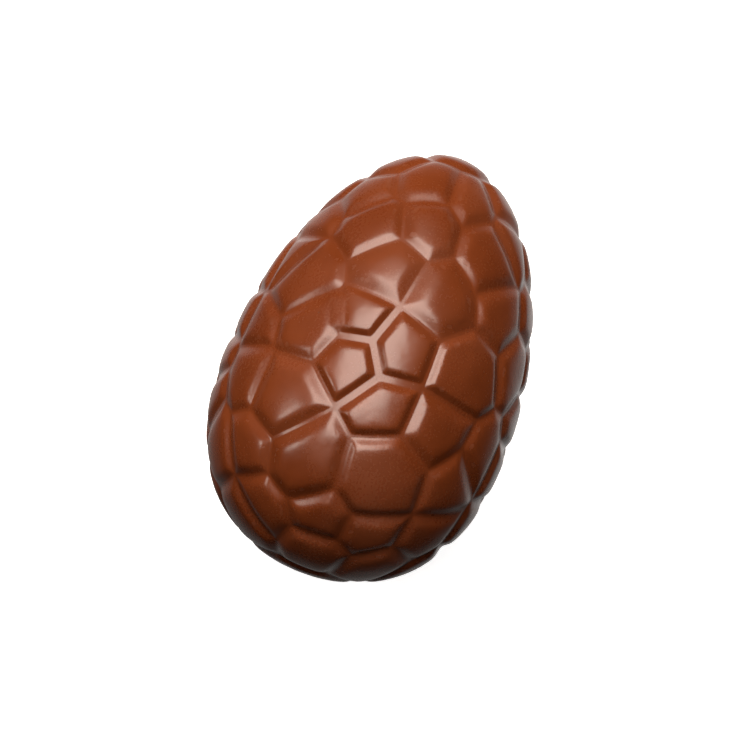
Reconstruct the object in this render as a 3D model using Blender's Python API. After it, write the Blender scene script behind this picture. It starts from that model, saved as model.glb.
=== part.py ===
"""Chocolate egg moulded in a crazy-paving pattern.

The egg is two equal half shells joined along a seam through its long axis.
Both come out of one mould, so the second half is the first one turned half
round the long axis. Grooves part the surface into gently domed slabs. The egg
lies on the middle slabs of its lower half, with its narrow end to +X.
"""
import math

import bmesh
import bpy
from mathutils import Matrix, Vector

MM = 0.001

# The smooth egg that the groove floors and the slabs follow, in millimetres.
LARGEST_RADIUS = 40.7
BLUNT_REACH = 47.4
NARROW_REACH = 72.6
BLUNT_FULLNESS = 2.21
NARROW_FULLNESS = 1.95
MIDDLE = Vector(((NARROW_REACH - BLUNT_REACH) / 2, 0.0, 0.0))

# The relief, in millimetres. The first three are half the width of a groove's
# floor: wide between the middle slabs and little more than a crease elsewhere.
# The middle slabs have steep walls, and the slabs round them lean back gently.
WIDE_GROOVE = 0.8
MEDIUM_GROOVE = 0.3
NARROW_GROOVE = 0.2
STEEP_SLOPE = 0.75
MEDIUM_SLOPE = 0.66
GENTLE_SLOPE = 0.5
GENTLEST_SLOPE = 0.46
GROOVE_DEPTH = 0.9
FOOT_ROUNDING = 0.4
WALL_RISE = 1.0
SHOULDER_SHARPNESS = 7
DOME_RISE = 0.35
DOME_RUN = 3.0
CORNER_SHARPNESS = 5

# How finely the relief is stepped: the ring of points past the shoulder and the
# ring on the dome, each with its largest share of the way to the centre, and
# the step along a rim.
PAST_SHOULDER = 1.15
SHOULDER_SHARE = 0.45
DOME_RING = 3.9
DOME_SHARE = 0.72
EDGE_STEP = 5.4
SHARPEST_SMOOTH_FOLD = 35

# The egg lies on its lower slabs, and each slab it lies on is worn flat.
REST_PITCH = 5.0
REST_ROLL = 2.0
FLAT_DEPTH = 0.35

# Each slab of a half shell: millimetres from the widest station towards the
# narrow end, degrees round the long axis from the middle of the shell, and
# millimetres by which the slab pushes its neighbours back.
MIDDLE_SLABS = ((11.2, 13, -0.05), (19, -5, 0), (1.5, -7, -0.3), (22, 16.5, 0.05))
INNER_RING = (
    (16.8, 33, 0.7), (-4, 31, 0.35), (-18, 13.5, 0.25), (1.5, -28.5, 0), (34, -13.5, 0.15),
    (36.8, 14.5, 0.3),
)
STEEP_SLABS = ((-15.5, -16, 0.5), (18.5, -32, 0.3))
OUTER_RING = (
    (51, 6.5, 0), (49.5, -38, 0.45), (55.5, -55, 0.3), (39, -46, 0.2), (26, -65, -0.1),
    (-2, -55, -0.4), (-11.5, -46, 0), (-26, -52, 0), (-29, -23, 0), (-30, 0, 0), (-34, 31, 0),
    (-20, 41, -0.1), (-3, 51, 0), (12.5, 56, 0), (26, 46.5, 1.15), (45.3, 30, 0.4), (54.5, 52, 0.2),
    (31, 62, 0.5), (63, 21, 0.1), (63, -24, 0), (63.5, -60, 0.1),
)
SEAM_SLABS = (
    (64.5, 68, 0), (53, 82, 0), (42, 65, 0.2), (28, 80, 0.2), (12, 80, 0), (-1, 82, 0),
    (-12, 78, 0), (-23, 66, 0), (53, -85, 0), (40, -75, 0), (26, -88, 0), (11, -83, 0),
    (-4, -80, 0), (-20, -82, 0), (-35, -80, 0), (-38, 45, 0), (-39.5, -3, 0), (-38, -45, 0),
)
SLAB_GROUPS = (
    (MIDDLE_SLABS, WIDE_GROOVE, STEEP_SLOPE),
    (INNER_RING, MEDIUM_GROOVE, GENTLEST_SLOPE),
    (STEEP_SLABS, MEDIUM_GROOVE, MEDIUM_SLOPE),
    (OUTER_RING, NARROW_GROOVE, GENTLE_SLOPE),
    (SEAM_SLABS, NARROW_GROOVE, GENTLE_SLOPE),
)
END_SLABS = ((NARROW_REACH, 0, 0), (-BLUNT_REACH, 0, 0))

BALL_RADIUS = 40.0
SHORTEST_SIDE = 1.6
HALVINGS = 24
TOUCHING = 0.001

CHOCOLATE_COLOUR = (0.155, 0.038, 0.012, 1.0)
CHOCOLATE_ROUGHNESS = 0.28


def clear_scene():
    for item in list(bpy.data.objects):
        bpy.data.objects.remove(item, do_unlink=True)


def chocolate():
    material = bpy.data.materials.new("milk_chocolate")
    material.use_nodes = True
    shader = material.node_tree.nodes["Principled BSDF"]
    shader.inputs["Base Color"].default_value = CHOCOLATE_COLOUR
    shader.inputs["Roughness"].default_value = CHOCOLATE_ROUGHNESS
    shader.inputs["Metallic"].default_value = 0.0
    return material


def egg_radius(station):
    """Radius of the smooth egg at a station, 0 at and past its ends."""
    if station >= 0:
        reach, fullness = NARROW_REACH, NARROW_FULLNESS
    else:
        reach, fullness = BLUNT_REACH, BLUNT_FULLNESS
    share = min(abs(station) / reach, 1.0)
    return LARGEST_RADIUS * (1.0 - share**fullness) ** (1.0 / fullness)


def heading(station, degrees):
    """Direction from the egg's middle to a place on its skin."""
    radius = egg_radius(station)
    angle = math.radians(degrees)
    place = Vector((station, radius * math.sin(angle), radius * math.cos(angle)))
    return (place - MIDDLE).normalized()


def reach_along(direction):
    """Distance from the egg's middle to the smooth skin in one direction."""
    near, far = 0.0, 2 * NARROW_REACH
    for _ in range(HALVINGS):
        halfway = (near + far) / 2
        point = MIDDLE + direction * halfway
        off_axis = math.hypot(point.y, point.z)
        inside = -BLUNT_REACH < point.x < NARROW_REACH and off_axis < egg_radius(point.x)
        near, far = (halfway, far) if inside else (near, halfway)
    return near


def slab_planes():
    """Direction, distance, groove and wall slope for each slab of both halves and the ends."""
    planes = []
    for station, turn, push in END_SLABS:
        planes.append((heading(station, turn), BALL_RADIUS - push, NARROW_GROOVE, GENTLE_SLOPE))
    for slabs, groove, slope in SLAB_GROUPS:
        for station, turn, push in slabs:
            for half_turn in (0, 180):
                direction = heading(station, turn + half_turn)
                planes.append((direction, BALL_RADIUS - push, groove, slope))
    return planes


def slab_plans():
    """Cut a block like a gem: each flat that is left is the plan of one slab.

    Gives its corners, half the width of the groove along each of its sides,
    and the slope of its walls. A groove is as wide as the narrower of its two
    slabs asks.
    """
    gem = bmesh.new()
    width = gem.faces.layers.float.new("groove")
    steepness = gem.faces.layers.float.new("slope")
    bmesh.ops.create_cube(gem, size=4 * BALL_RADIUS)
    for direction, distance, groove, slope in slab_planes():
        cut = bmesh.ops.bisect_plane(
            gem, geom=gem.verts[:] + gem.edges[:] + gem.faces[:],
            plane_co=direction * distance, plane_no=direction, clear_outer=True,
        )
        rim = [item for item in cut["geom_cut"] if isinstance(item, bmesh.types.BMEdge)]
        for face in bmesh.ops.contextual_create(gem, geom=rim)["faces"]:
            face[width] = groove
            face[steepness] = slope
    bmesh.ops.remove_doubles(gem, verts=gem.verts, dist=SHORTEST_SIDE)
    plans = []
    for face in gem.faces:
        corners = [loop.vert.co.copy() for loop in face.loops]
        grooves = [min(beside[width] for beside in loop.edge.link_faces) for loop in face.loops]
        plans.append((corners, grooves, face[steepness]))
    gem.free()
    return plans


def side_planes(corners, centre):
    """Inward normals of the planes through the egg's middle and each side."""
    normals = []
    for here, there in zip(corners, corners[1:] + corners[:1]):
        normal = here.cross(there).normalized()
        normals.append(normal if normal.dot(centre) > 0 else -normal)
    return normals


def run_in(direction, sides):
    """Distance in from the edges of the groove floors, rounded at the corners."""
    point = direction * reach_along(direction)
    gaps = [max(normal.dot(point) - groove, TOUCHING) for normal, groove in sides]
    return sum(gap**-CORNER_SHARPNESS for gap in gaps) ** (-1.0 / CORNER_SHARPNESS)


def relief(run, slope):
    """Height over the groove floor: a sloping wall with a rounded foot and shoulder."""
    wall = max(slope * (math.hypot(run, FOOT_ROUNDING) - FOOT_ROUNDING), TOUCHING)
    top = WALL_RISE + DOME_RISE * (1.0 - math.exp(-run / DOME_RUN))
    blend = wall**-SHOULDER_SHARPNESS + top**-SHOULDER_SHARPNESS
    return blend ** (-1.0 / SHOULDER_SHARPNESS)


def skin_point(direction, height):
    return MIDDLE + direction * (reach_along(direction) - GROOVE_DEPTH + height)


def ring_direction(outer, centre, sides, run):
    """Direction between a slab's rim and its centre that lies at one run."""
    near, far = 0.0, 1.0
    for _ in range(HALVINGS // 2):
        halfway = (near + far) / 2
        direction = outer.lerp(centre, halfway).normalized()
        if run_in(direction, sides) < run:
            near = halfway
        else:
            far = halfway
    return outer.lerp(centre, far).normalized()


def rim_directions(corners):
    """Directions round a slab's rim, in even steps along each side."""
    directions = []
    for here, there in zip(corners, corners[1:] + corners[:1]):
        scale = reach_along(here.lerp(there, 0.5).normalized()) / BALL_RADIUS
        steps = max(1, round((there - here).length * scale / EDGE_STEP))
        directions += [here.lerp(there, step / steps).normalized() for step in range(steps)]
    return directions


def add_slab(egg, corners, grooves, slope):
    """Groove floor, walls and domed top of one slab, out to its grooves' middle."""
    centre = sum(corners, Vector()).normalized()
    sides = list(zip(side_planes(corners, centre), grooves))
    widest = run_in(centre, sides)
    shoulder = min(PAST_SHOULDER * WALL_RISE / slope, SHOULDER_SHARE * widest)
    dome = min(DOME_RING, DOME_SHARE * widest)
    rim = rim_directions(corners)
    ring = [egg.verts.new(skin_point(direction, 0.0)) for direction in rim]
    for run in (2 * TOUCHING, shoulder, dome):
        inner = []
        for outer in rim:
            direction = ring_direction(outer, centre, sides, run)
            inner.append(egg.verts.new(skin_point(direction, relief(run, slope))))
        for k in range(len(ring)):
            after = (k + 1) % len(ring)
            egg.faces.new((ring[k], ring[after], inner[after], inner[k]))
        ring = inner
    crown = egg.verts.new(skin_point(centre, relief(widest, slope)))
    for k in range(len(ring)):
        egg.faces.new((ring[k], ring[(k + 1) % len(ring)], crown))


def lay_down(egg):
    """Turn the egg to how it lies, wear its lowest slabs flat and centre it."""
    pitch = Matrix.Rotation(math.radians(REST_PITCH), 3, "Y")
    roll = Matrix.Rotation(math.radians(REST_ROLL), 3, "X")
    bmesh.ops.transform(egg, matrix=(pitch @ roll).to_4x4(), verts=egg.verts)
    table = Vector((0.0, 0.0, min(vertex.co.z for vertex in egg.verts) + FLAT_DEPTH))
    bmesh.ops.bisect_plane(
        egg, geom=egg.verts[:] + egg.edges[:] + egg.faces[:], dist=TOUCHING,
        plane_co=table, plane_no=(0.0, 0.0, -1.0), clear_outer=True,
    )
    bmesh.ops.holes_fill(egg, edges=egg.edges)
    across = [vertex.co.x for vertex in egg.verts]
    aside = [vertex.co.y for vertex in egg.verts]
    base = Vector(((min(across) + max(across)) / 2, (min(aside) + max(aside)) / 2, table.z))
    bmesh.ops.translate(egg, verts=egg.verts, vec=-base)
    bmesh.ops.scale(egg, verts=egg.verts, vec=(MM, MM, MM))


def make_egg(material):
    egg = bmesh.new()
    for corners, grooves, slope in slab_plans():
        add_slab(egg, corners, grooves, slope)
    bmesh.ops.remove_doubles(egg, verts=egg.verts, dist=TOUCHING)
    lay_down(egg)
    bmesh.ops.triangulate(egg, faces=egg.faces)
    bmesh.ops.recalc_face_normals(egg, faces=egg.faces)
    mesh = bpy.data.meshes.new("egg")
    egg.to_mesh(mesh)
    egg.free()
    mesh.materials.append(material)
    mesh.shade_smooth()
    mesh.set_sharp_from_angle(angle=math.radians(SHARPEST_SMOOTH_FOLD))
    part = bpy.data.objects.new("egg", mesh)
    bpy.context.scene.collection.objects.link(part)
    return part


clear_scene()
make_egg(chocolate())
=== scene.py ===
"""Chocolate egg in a crazy-paving mould pattern: its looks, floor, camera and light."""
import math

import bmesh
import bpy
import numpy as np
from mathutils import Matrix, Vector, noise


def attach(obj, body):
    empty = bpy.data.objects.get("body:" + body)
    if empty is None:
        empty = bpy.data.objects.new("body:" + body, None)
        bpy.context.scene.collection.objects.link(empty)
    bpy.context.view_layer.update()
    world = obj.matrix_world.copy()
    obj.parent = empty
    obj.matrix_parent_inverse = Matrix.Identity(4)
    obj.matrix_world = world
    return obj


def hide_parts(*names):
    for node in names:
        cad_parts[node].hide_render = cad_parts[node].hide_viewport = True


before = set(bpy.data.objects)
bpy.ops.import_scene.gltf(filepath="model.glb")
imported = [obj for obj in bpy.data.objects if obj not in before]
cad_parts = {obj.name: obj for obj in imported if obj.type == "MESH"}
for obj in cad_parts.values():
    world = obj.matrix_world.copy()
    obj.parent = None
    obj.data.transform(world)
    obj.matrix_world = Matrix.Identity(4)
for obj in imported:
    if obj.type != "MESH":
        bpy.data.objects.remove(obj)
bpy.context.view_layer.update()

# ---- The egg ----------------------------------------------------------------
# A hollow egg of milk chocolate, cast as two half shells in one mould and
# joined along a seam through its long axis. Creases part each shell into
# slabs with sloping walls. The skin copies the mould, down to pits and nicks.

MM = 0.001
LARGEST_RADIUS = 40.7
BLUNT_REACH = 47.4
NARROW_REACH = 72.6
BLUNT_FULLNESS = 2.21
NARROW_FULLNESS = 1.95
MIDDLE = np.array(((NARROW_REACH - BLUNT_REACH) / 2, 0.0, 0.0))


def egg_radius(station):
    """Radius of the smooth egg at each station, 0 at and past its ends."""
    reach = np.where(station >= 0, NARROW_REACH, BLUNT_REACH)
    fullness = np.where(station >= 0, NARROW_FULLNESS, BLUNT_FULLNESS)
    share = np.minimum(np.abs(station) / reach, 1.0)
    return LARGEST_RADIUS * (1.0 - share**fullness) ** (1.0 / fullness)


def unit(vectors):
    return vectors / np.linalg.norm(vectors, axis=-1, keepdims=True)


def heading(station, degrees):
    """Direction from the egg's middle to a place on its skin."""
    radius = float(egg_radius(np.array(float(station))))
    angle = math.radians(degrees)
    return unit(np.array((station, radius * math.sin(angle), radius * math.cos(angle))) - MIDDLE)


def reach_along(directions):
    """Distance from the egg's middle to the smooth skin in each direction."""
    near = np.zeros(directions.shape[:-1])
    far = near + 2 * NARROW_REACH
    for _ in range(26):
        halfway = (near + far) / 2
        points = MIDDLE + directions * halfway[..., None]
        station = points[..., 0]
        inside = np.hypot(points[..., 1], points[..., 2]) < egg_radius(station)
        inside &= (station > -BLUNT_REACH) & (station < NARROW_REACH)
        near = np.where(inside, halfway, near)
        far = np.where(inside, far, halfway)
    return near


# Slabs of one half shell: millimetres from the widest station towards the
# narrow end, degrees round the long axis from the middle of the shell, and
# millimetres by which the slab pushes its neighbours back. The other half
# shell is this list turned half round the long axis.
MIDDLE_SLABS = ((11.2, 13, -0.05), (19, -5, 0), (1.5, -7, -0.3), (22, 16.5, 0.05))
INNER_RING = ((16.8, 33, 0.7), (-4, 31, 0.35), (-18, 13.5, 0.25), (1.5, -28.5, 0))
GENTLE_SLABS = ((34, -13.5, 0.15), (36.8, 14.5, 0.3))
STEEP_SLABS = ((-15.5, -16, 0.5), (18.5, -32, 0.3))
OUTER_RING = (
    (51, 6.5, 0), (49.5, -38, 0.45), (55.5, -55, 0.3), (39, -46, 0.2), (26, -65, -0.1),
    (-2, -55, -0.4), (-11.5, -46, 0), (-26, -52, 0), (-29, -23, 0), (-30, 0, 0), (-34, 31, 0),
    (-20, 41, -0.1), (-3, 51, 0), (12.5, 56, 0), (26, 46.5, 1.15), (45.3, 30, 0.4), (54.5, 52, 0.2),
    (31, 62, 0.5), (63, 21, 0.1), (63, -24, 0), (63.5, -60, 0.1),
)
SEAM_SLABS = (
    (64.5, 68, 0), (53, 82, 0), (42, 65, 0.2), (28, 80, 0.2), (12, 80, 0), (-1, 82, 0),
    (-12, 78, 0), (-23, 66, 0), (53, -85, 0), (40, -75, 0), (26, -88, 0), (11, -83, 0),
    (-4, -80, 0), (-20, -82, 0), (-35, -80, 0), (-38, 45, 0), (-39.5, -3, 0), (-38, -45, 0),
)
END_SLABS = ((NARROW_REACH, 0, 0), (-BLUNT_REACH, 0, 0))
# Each group with half the width of its grooves, the slope of its walls, and
# the share of its height that is a dome and not wall.
SLAB_GROUPS = (
    (MIDDLE_SLABS, 0.76, 0.8, 0.24), (INNER_RING, 0.3, 0.48, 0.28), (GENTLE_SLABS, 0.3, 0.36, 0.26),
    (STEEP_SLABS, 0.3, 0.68, 0.28), (OUTER_RING + SEAM_SLABS, 0.2, 0.5, 0.4),
)
END_LOOK = (0.2, 0.5, 0.4)
BALL_RADIUS = 40.0
SHORTEST_SIDE = 1.6


def slab_planes():
    planes = []
    for station, turn, push in END_SLABS:
        planes.append((heading(station, turn), BALL_RADIUS - push, *END_LOOK))
    for slabs, *look in SLAB_GROUPS:
        for station, turn, push in slabs:
            for half_turn in (0, 180):
                planes.append((heading(station, turn + half_turn), BALL_RADIUS - push, *look))
    return planes


def slab_plans():
    """Cut a block like a gem: each flat that is left is the plan of one slab.

    Gives its corners, half the width of the groove along each of its sides,
    and its slope and dome. A groove is as wide as the narrower of its two
    slabs asks.
    """
    gem = bmesh.new()
    width = gem.faces.layers.float.new("groove")
    steepness = gem.faces.layers.float.new("slope")
    roundness = gem.faces.layers.float.new("dome")
    bmesh.ops.create_cube(gem, size=4 * BALL_RADIUS)
    for direction, distance, groove, slope, dome in slab_planes():
        everything = gem.verts[:] + gem.edges[:] + gem.faces[:]
        cut = bmesh.ops.bisect_plane(
            gem, geom=everything, dist=1e-5,
            plane_co=direction * distance, plane_no=direction, clear_outer=True,
        )
        rim = [item for item in cut["geom_cut"] if isinstance(item, bmesh.types.BMEdge)]
        for face in bmesh.ops.contextual_create(gem, geom=rim)["faces"]:
            face[width] = groove
            face[steepness] = slope
            face[roundness] = dome
    bmesh.ops.remove_doubles(gem, verts=gem.verts, dist=SHORTEST_SIDE)
    plans = []
    for face in gem.faces:
        corners = np.array([loop.vert.co[:] for loop in face.loops])
        grooves = [min(beside[width] for beside in loop.edge.link_faces) for loop in face.loops]
        plans.append((corners, np.array(grooves), (face[steepness], face[roundness])))
    gem.free()
    return plans


GROOVE_DEPTH = 0.9
FOOT_ROUNDING = 0.4
SLAB_HEIGHT = 1.35
SHOULDER_SHARPNESS = 7
DOME_RUN = 3.0
PULL = 2.5
CORNER_SHARPNESS = 5


def run_in(directions, normals, grooves):
    """Distance in from the edges of the groove floors, rounded at the corners."""
    points = directions * reach_along(directions)[..., None]
    gaps = np.maximum(points @ normals.T - grooves, 1e-4)
    return np.sum(gaps**-CORNER_SHARPNESS, axis=-1) ** (-1.0 / CORNER_SHARPNESS)


def relief(run, slope, dome):
    """Height over the groove floor: a sloping wall with a rounded foot and shoulder."""
    wall = slope * (np.hypot(run, FOOT_ROUNDING) - FOOT_ROUNDING)
    top = SLAB_HEIGHT * (1.0 - dome * np.exp(-run / DOME_RUN))
    return (wall**-SHOULDER_SHARPNESS + top**-SHOULDER_SHARPNESS) ** (-1.0 / SHOULDER_SHARPNESS)


RIM_STEP = 1.1
FLOOR_SHARES = (0.0, 0.6)
SHOULDER_RUN = 4.4
SHOULDER_SHARES = (0.02, 0.06, 0.12, 0.22, 0.32, 0.42, 0.52, 0.64, 0.8, 1.0)
INNERMOST_SHARE = 0.72
CROWN_SHARES = (0.3, 0.6, 0.82)


def rim_directions(corners):
    """Directions round a slab's rim, in even steps along each side."""
    directions = []
    for here, there in zip(corners, np.roll(corners, -1, axis=0)):
        scale = reach_along(unit((here + there) / 2)) / BALL_RADIUS
        steps = max(1, round(float(np.linalg.norm(there - here) * scale / RIM_STEP)))
        share = np.arange(steps)[:, None] / steps
        directions.append(unit(here * (1 - share) + there * share))
    return np.vstack(directions)


def between(outer, centre, share):
    return unit(outer * (1 - share) + centre * share)


def slab_rings(corners, grooves):
    """Rings of directions over one slab, from the middle of its grooves to its
    crown, and how far in from the groove floors each point lies."""
    centre = unit(corners.sum(axis=0))
    normals = unit(np.cross(corners, np.roll(corners, -1, axis=0)))
    normals *= np.sign(normals @ centre)[:, None]
    rim = rim_directions(corners)
    innermost = float(run_in(centre, normals, grooves)) * INNERMOST_SHARE
    wanted = min(SHOULDER_RUN, innermost) * np.array(SHOULDER_SHARES)[:, None]
    near = np.zeros((len(SHOULDER_SHARES), len(rim)))
    far = near + 1.0
    for _ in range(16):
        halfway = (near + far) / 2
        outside = run_in(between(rim, centre, halfway[..., None]), normals, grooves) < wanted
        near = np.where(outside, halfway, near)
        far = np.where(outside, far, halfway)
    walls = between(rim, centre, far[..., None])
    floors = [between(rim, walls[0], share) for share in FLOOR_SHARES]
    crowns = [between(walls[-1], centre, share) for share in CROWN_SHARES]
    directions = np.concatenate((floors, walls, crowns))
    runs = run_in(directions, normals, grooves)
    runs[: len(floors)] = 0.0
    return directions, runs, centre, float(run_in(centre, normals, grooves))


# The mould has almost no crease between the smallest of the middle slabs and
# the slab beside it: the two ends of the missing crease, and its filling.
SHALLOW_CREASE = ((16.0, 19.3), (26.8, 26.7))
FILL_HEIGHT = 1.06
FILL_WIDTH = 4.2
FILL_EASE = 2.6
FILL_SHARPNESS = 8


def skin_at(directions):
    """Points of the smooth egg in each direction."""
    return MIDDLE + directions * reach_along(directions)[..., None]


def filling(points):
    """How high the shallow crease of each half shell is filled."""
    filled = np.zeros(points.shape[:-1])
    for half_turn in (0, 180):
        start, end = (skin_at(heading(station, turn + half_turn)) for station, turn in SHALLOW_CREASE)
        length = np.linalg.norm(end - start)
        line = (end - start) / length
        along = (points - start) @ line
        aside = np.linalg.norm(points - start - along[..., None] * line, axis=-1)
        ease = np.clip(np.minimum(along, length - along) / FILL_EASE, 0.0, 1.0)
        filled += FILL_HEIGHT * ease**2 * (3 - 2 * ease) * np.exp(-((aside / FILL_WIDTH) ** 4))
    return filled


def skin_points(directions, runs, shape):
    """Points of the skin. The relief leans towards the way that the mould pulls off."""
    smooth = skin_at(directions)
    heights = np.where(runs > 0, relief(np.maximum(runs, 1e-3), *shape), 0.0)
    heights = (heights**FILL_SHARPNESS + filling(smooth)**FILL_SHARPNESS) ** (1.0 / FILL_SHARPNESS)
    return smooth + unit(directions * (1.0, 1.0, PULL)) * (heights - GROOVE_DEPTH)[..., None]


def cast_skin():
    """The whole skin, with how far each point lies in from the groove floors."""
    points, depths, faces = [], [], []
    total = 0
    for corners, grooves, shape in slab_plans():
        directions, runs, centre, widest = slab_rings(corners, grooves)
        levels, around = runs.shape
        points.append(skin_points(directions, runs, shape).reshape(-1, 3))
        points.append(skin_points(centre[None], np.array([widest]), shape))
        depths += [runs.ravel(), [widest]]
        for level in range(levels - 1):
            for k in range(around):
                after = (k + 1) % around
                low, high = total + level * around, total + (level + 1) * around
                faces.append((low + k, low + after, high + after, high + k))
        last = total + (levels - 1) * around
        crown = total + levels * around
        faces += [(last + k, last + (k + 1) % around, crown) for k in range(around)]
        total = crown + 1
    points = np.vstack(points)
    mesh = bpy.data.meshes.new("egg_skin")
    mesh.from_pydata(points * MM, [], faces)
    for name, values in (("from_groove", np.concatenate(depths)), ("from_seam", points[:, 2])):
        mesh.attributes.new(name, "FLOAT", "POINT").data.foreach_set("value", values.astype(np.float32))
    return mesh


# The egg rests on the middle slabs of its lower half, each worn flat there.
REST_PITCH = 5.0
REST_ROLL = 2.0
FLAT_DEPTH = 0.35
# Unevenness of the thin shell: how wide and how high its swells are.
SWELLS = ((9.0, 0.10), (3.1, 0.03))
pitch = Matrix.Rotation(math.radians(REST_PITCH), 3, "Y")
lie = pitch @ Matrix.Rotation(math.radians(REST_ROLL), 3, "X")

egg_skin = cast_skin()
work = bmesh.new()
work.from_mesh(egg_skin)
bmesh.ops.remove_doubles(work, verts=work.verts, dist=1e-7)
bmesh.ops.recalc_face_normals(work, faces=work.faces)
for vertex in work.verts:
    place = vertex.co / MM
    swell = sum(noise.noise(place / wide) * high for wide, high in SWELLS)
    vertex.co += vertex.co.normalized() * swell * MM
turned = np.array([lie @ vertex.co for vertex in work.verts])
lowest, highest = turned.min(axis=0), turned.max(axis=0)
base = Vector((lowest + highest) / 2)
base.z = float(lowest[2]) + FLAT_DEPTH * MM
bmesh.ops.transform(work, matrix=Matrix.Translation(-base) @ lie.to_4x4(), verts=work.verts)
everything = work.verts[:] + work.edges[:] + work.faces[:]
bmesh.ops.bisect_plane(
    work, geom=everything, dist=1e-7, plane_co=(0, 0, 0), plane_no=(0, 0, -1), clear_outer=True
)
bmesh.ops.holes_fill(work, edges=work.edges)
work.to_mesh(egg_skin)
work.free()
egg_skin.shade_smooth()
egg_shell = bpy.data.objects.new("egg_shell", egg_skin)
bpy.context.scene.collection.objects.link(egg_shell)

CHOCOLATE_TONES = ((0.090, 0.0182, 0.0042, 1.0), (0.110, 0.0236, 0.0062, 1.0))
HAZE_TONE = (0.19, 0.085, 0.055, 1.0)
CRUMB_TONE = (0.42, 0.24, 0.16, 1.0)
# Near-black tone: painted shade in the pits, and the darker line along the seam.
PIT_SHADE_AND_SEAM_TONE = (0.03, 0.007, 0.003, 1.0)
# Heights and depths of the fine relief, in millimetres.
RIPPLE_HEIGHT = 0.12
GRAIN_HEIGHT = 0.006
CRUMB_HEIGHT = 0.01
NICK_DEPTH = 0.025
PIT_DEPTH = 0.05
SEAM_DEPTH = 0.10
# Blotches to the metre, from the widest change of tone to the finest grain.
TONE_CHANGES = 70.0
HAZE_PATCHES = 38.0
GLOSS_CHANGES = 55.0
SMEARS = 1300.0
NICKS = 420.0
RIPPLES = 150.0
GRAIN = 620.0
chocolate = bpy.data.materials.new("milk_chocolate")
chocolate.use_nodes = True
recipe = chocolate.node_tree
shader = recipe.nodes["Principled BSDF"]


def feed(socket, value):
    if isinstance(value, bpy.types.NodeSocket):
        recipe.links.new(value, socket)
    else:
        socket.default_value = value


def reading(attribute):
    made = recipe.nodes.new("ShaderNodeAttribute")
    made.attribute_name = attribute
    return made.outputs["Fac"]


def maths(what, first, second):
    made = recipe.nodes.new("ShaderNodeMath")
    made.operation = what
    feed(made.inputs[0], first)
    feed(made.inputs[1], second)
    return made.outputs["Value"]


def rising(value, low, high, to_low=0.0, to_high=1.0):
    """Turn the range from low to high into the range from to_low to to_high."""
    made = recipe.nodes.new("ShaderNodeMapRange")
    for name, limit in (
        ("Value", value), ("From Min", low), ("From Max", high), ("To Min", to_low), ("To Max", to_high)
    ):
        feed(made.inputs[name], limit)
    return made.outputs["Result"]


def mixed(share, first, second):
    made = recipe.nodes.new("ShaderNodeMixRGB")
    feed(made.inputs["Fac"], share)
    feed(made.inputs["Color1"], first)
    feed(made.inputs["Color2"], second)
    return made.outputs["Color"]


def blotches(per_metre, detail=2.0):
    """Soft noise over the skin, mostly between 0.3 and 0.7."""
    made = recipe.nodes.new("ShaderNodeTexNoise")
    feed(made.inputs["Vector"], skin_place)
    made.inputs["Scale"].default_value = per_metre
    made.inputs["Detail"].default_value = detail
    return made.outputs["Fac"]


def specks(per_metre, radius, kept):
    """1 on scattered round specks: their radius in cells, and the share of cells that has one."""
    cells = recipe.nodes.new("ShaderNodeTexVoronoi")
    feed(cells.inputs["Vector"], skin_place)
    cells.inputs["Scale"].default_value = per_metre
    tint = recipe.nodes.new("ShaderNodeSeparateColor")
    feed(tint.inputs["Color"], cells.outputs["Color"])
    near = rising(cells.outputs["Distance"], radius, radius * 0.5)
    return maths("MULTIPLY", near, maths("LESS_THAN", tint.outputs["Red"], kept))


skin_place = recipe.nodes.new("ShaderNodeTexCoord").outputs["Object"]
from_groove = reading("from_groove")
from_seam = reading("from_seam")
pits = specks(210.0, 0.055, 0.16)
crumbs = specks(160.0, 0.035, 0.07)
nicks = rising(blotches(NICKS, 3.0), 0.56, 0.70)
at_shoulder = maths("MULTIPLY", rising(from_groove, 1.2, 1.8), rising(from_groove, 2.9, 2.2))
worn = maths("MULTIPLY", nicks, at_shoulder)
wander = maths("MULTIPLY", maths("SUBTRACT", blotches(RIPPLES), 0.5), 0.8)
seam = rising(maths("ABSOLUTE", maths("ADD", from_seam, wander), 0.0), 0.28, 0.05)

tone = mixed(rising(blotches(TONE_CHANGES, 4.0), 0.35, 0.65), *CHOCOLATE_TONES)
tone = mixed(rising(blotches(HAZE_PATCHES, 3.0), 0.48, 0.75, 0.0, 0.10), tone, HAZE_TONE)
tone = mixed(maths("MULTIPLY", worn, 0.12), tone, HAZE_TONE)
tone = mixed(maths("MULTIPLY", crumbs, 0.1), tone, CRUMB_TONE)
# Painted shade: the pits are darkened towards a near-black tone, as if shade fell into them.
tone = mixed(maths("MULTIPLY", pits, 0.6), tone, PIT_SHADE_AND_SEAM_TONE)
tone = mixed(maths("MULTIPLY", seam, 0.35), tone, PIT_SHADE_AND_SEAM_TONE)
feed(shader.inputs["Base Color"], tone)

gloss = rising(blotches(GLOSS_CHANGES, 4.0), 0.3, 0.7, 0.22, 0.29)
gloss = maths("ADD", gloss, maths("MULTIPLY", rising(blotches(SMEARS), 0.35, 0.7), 0.03))
gloss = maths("ADD", gloss, maths("MULTIPLY", worn, 0.12))
feed(shader.inputs["Roughness"], gloss)
shader.inputs["IOR"].default_value = 1.5

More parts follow.
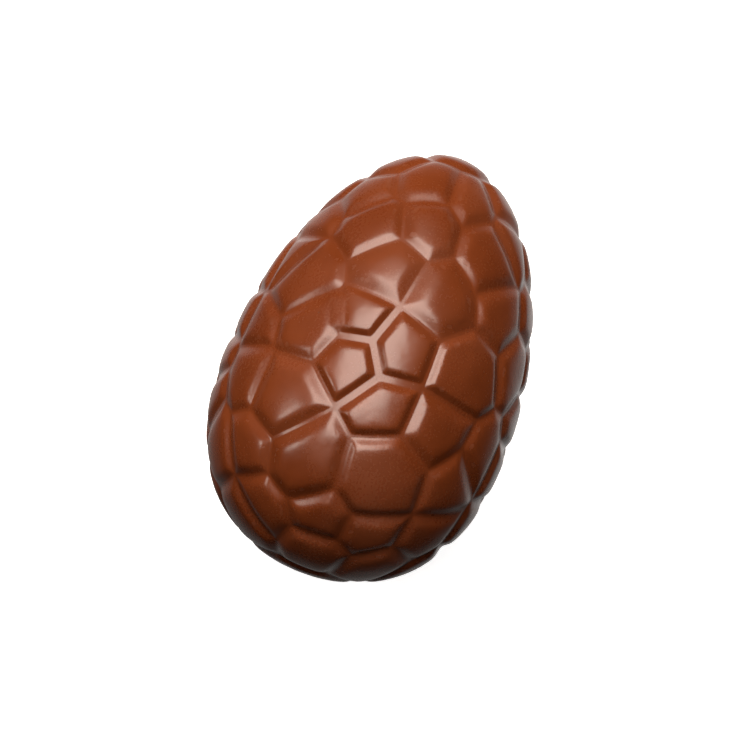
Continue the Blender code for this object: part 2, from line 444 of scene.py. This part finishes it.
# Ripples of the mould, a fine grain, pits, nicked shoulders and the seam.
height = maths("MULTIPLY", blotches(RIPPLES), RIPPLE_HEIGHT)
height = maths("ADD", height, maths("MULTIPLY", blotches(GRAIN), GRAIN_HEIGHT))
height = maths("SUBTRACT", height, maths("MULTIPLY", worn, NICK_DEPTH))
height = maths("SUBTRACT", height, maths("MULTIPLY", pits, PIT_DEPTH))
height = maths("ADD", height, maths("MULTIPLY", crumbs, CRUMB_HEIGHT))
height = maths("SUBTRACT", height, maths("MULTIPLY", seam, SEAM_DEPTH))
bump = recipe.nodes.new("ShaderNodeBump")
bump.inputs["Distance"].default_value = MM
bump.inputs["Strength"].default_value = 1.0
feed(bump.inputs["Height"], height)
feed(shader.inputs["Normal"], bump.outputs["Normal"])

egg_skin.materials.append(chocolate)
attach(egg_shell, "root")
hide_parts("egg")

# ---- Floor ------------------------------------------------------------------
# A sheet of white studio paper, large enough to fill the view, lit from
# behind so that it stays white. It isn't part of the egg.
HALF_FLOOR = 3.0
PAPER_GLOW = 0.9
PAPER_MOTTLE = ((0.82, 0.82, 0.82, 1.0), (0.88, 0.88, 0.88, 1.0))
floor_mesh = bpy.data.meshes.new("studio_floor")
floor_mesh.from_pydata(
    [(x * HALF_FLOOR, y * HALF_FLOOR, 0) for x, y in ((-1, -1), (1, -1), (1, 1), (-1, 1))],
    [], [(0, 1, 2, 3)],
)
floor = bpy.data.objects.new("studio_floor", floor_mesh)
bpy.context.scene.collection.objects.link(floor)
paper = bpy.data.materials.new("studio_paper")
paper.use_nodes = True
recipe = paper.node_tree
skin_place = recipe.nodes.new("ShaderNodeTexCoord").outputs["Object"]
paper_shader = recipe.nodes["Principled BSDF"]
feed(paper_shader.inputs["Base Color"], mixed(blotches(400.0, 5.0), *PAPER_MOTTLE))
paper_shader.inputs["Roughness"].default_value = 0.9
paper_shader.inputs["Emission Color"].default_value = (1.0, 1.0, 1.0, 1.0)
paper_shader.inputs["Emission Strength"].default_value = PAPER_GLOW
floor_mesh.materials.append(paper)
floor.visible_glossy = False
floor.visible_diffuse = False
floor.visible_shadow = False

# ---- Camera -----------------------------------------------------------------
# It looks square on to the seam plane, from over the shown half shell, with
# the narrow end up and to the right.
EGG_LEAN = 68.26
CAMERA_SPOT = Vector((0.0108, 0.0034, 0.556))
camera_data = bpy.data.cameras.new("camera")
camera_data.lens = 100.0
camera_data.sensor_width = 36.0
camera = bpy.data.objects.new("camera", camera_data)
bpy.context.scene.collection.objects.link(camera)
lean = math.radians(EGG_LEAN)
right = Vector((math.cos(lean), -math.sin(lean), 0.0))
up = Vector((math.sin(lean), math.cos(lean), 0.0))
back = Vector((0.0, 0.0, 1.0))
turn = lie @ Matrix((right, up, back)).transposed()
camera.matrix_world = Matrix.Translation(lie @ CAMERA_SPOT - base) @ turn.to_4x4()
bpy.context.scene.camera = camera
bpy.context.scene.view_settings.view_transform = "Standard"

# ---- Light ------------------------------------------------------------------
# Square soft boxes over the egg, and pale surroundings below it that shine
# back from its rim.
WARM_WHITE = (1.0, 0.95, 0.86)
WARMER_WHITE = (1.0, 0.9, 0.8)
AIM_HEIGHT = 0.04


def softbox(name, lean, side, distance, size, power, tint):
    """Lamp aimed at the egg: its degrees off the camera's axis, and round it."""
    data = bpy.data.lights.new(name, "AREA")
    data.shape = "SQUARE"
    data.size = size
    data.energy = power
    data.color = tint
    lamp = bpy.data.objects.new(name, data)
    bpy.context.scene.collection.objects.link(lamp)
    a, e = math.radians(side), math.radians(lean)
    away = turn @ Vector((math.cos(a) * math.sin(e), math.sin(a) * math.sin(e), math.cos(e)))
    lamp.location = Vector((0.0, 0.0, AIM_HEIGHT)) + away * distance
    lamp.rotation_mode = "QUATERNION"
    lamp.rotation_quaternion = away.to_track_quat("Z", "Y")
    return lamp


softbox("shine", 14, 105, 1.1, 0.85, 20, WARM_WHITE).visible_diffuse = False
softbox("glint", 50, 181, 1.1, 0.24, 1.8, WARM_WHITE).visible_diffuse = False
softbox("key", 14, 105, 1.1, 0.6, 9, WARM_WHITE).visible_glossy = False
softbox("fill", 45, 92, 1.3, 0.8, 36, WARMER_WHITE).visible_glossy = False
softbox("side_fill", 75, 130, 1.3, 0.8, 8, WARMER_WHITE).visible_glossy = False

world = bpy.data.worlds.new("studio")
world.use_nodes = True
sky = world.node_tree
background = sky.nodes["Background"]
background.inputs["Color"].default_value = (1.0, 0.95, 0.92, 1.0)
where = sky.nodes.new("ShaderNodeTexCoord")
parts = sky.nodes.new("ShaderNodeSeparateXYZ")
# Dark overhead, bright from below.
fade = sky.nodes.new("ShaderNodeMapRange")
fade.inputs["From Min"].default_value = -0.40
fade.inputs["From Max"].default_value = -0.95
fade.inputs["To Min"].default_value = 0.01
fade.inputs["To Max"].default_value = 0.85
# Dimmer towards the blunt end, brighter past the narrow end.
along = sky.nodes.new("ShaderNodeMapRange")
along.inputs["From Min"].default_value = -0.35
along.inputs["From Max"].default_value = 0.15
along.inputs["To Min"].default_value = 0.35
along.inputs["To Max"].default_value = 1.3
glow = sky.nodes.new("ShaderNodeMath")
glow.operation = "MULTIPLY"
path = sky.nodes.new("ShaderNodeLightPath")
seen = sky.nodes.new("ShaderNodeMath")
seen.operation = "MAXIMUM"
sky.links.new(where.outputs["Generated"], parts.inputs["Vector"])
sky.links.new(parts.outputs["Z"], fade.inputs["Value"])
sky.links.new(parts.outputs["X"], along.inputs["Value"])
sky.links.new(fade.outputs["Result"], glow.inputs[0])
sky.links.new(along.outputs["Result"], glow.inputs[1])
sky.links.new(glow.outputs["Value"], seen.inputs[0])
sky.links.new(path.outputs["Is Camera Ray"], seen.inputs[1])
sky.links.new(seen.outputs["Value"], background.inputs["Strength"])
bpy.context.scene.world = world
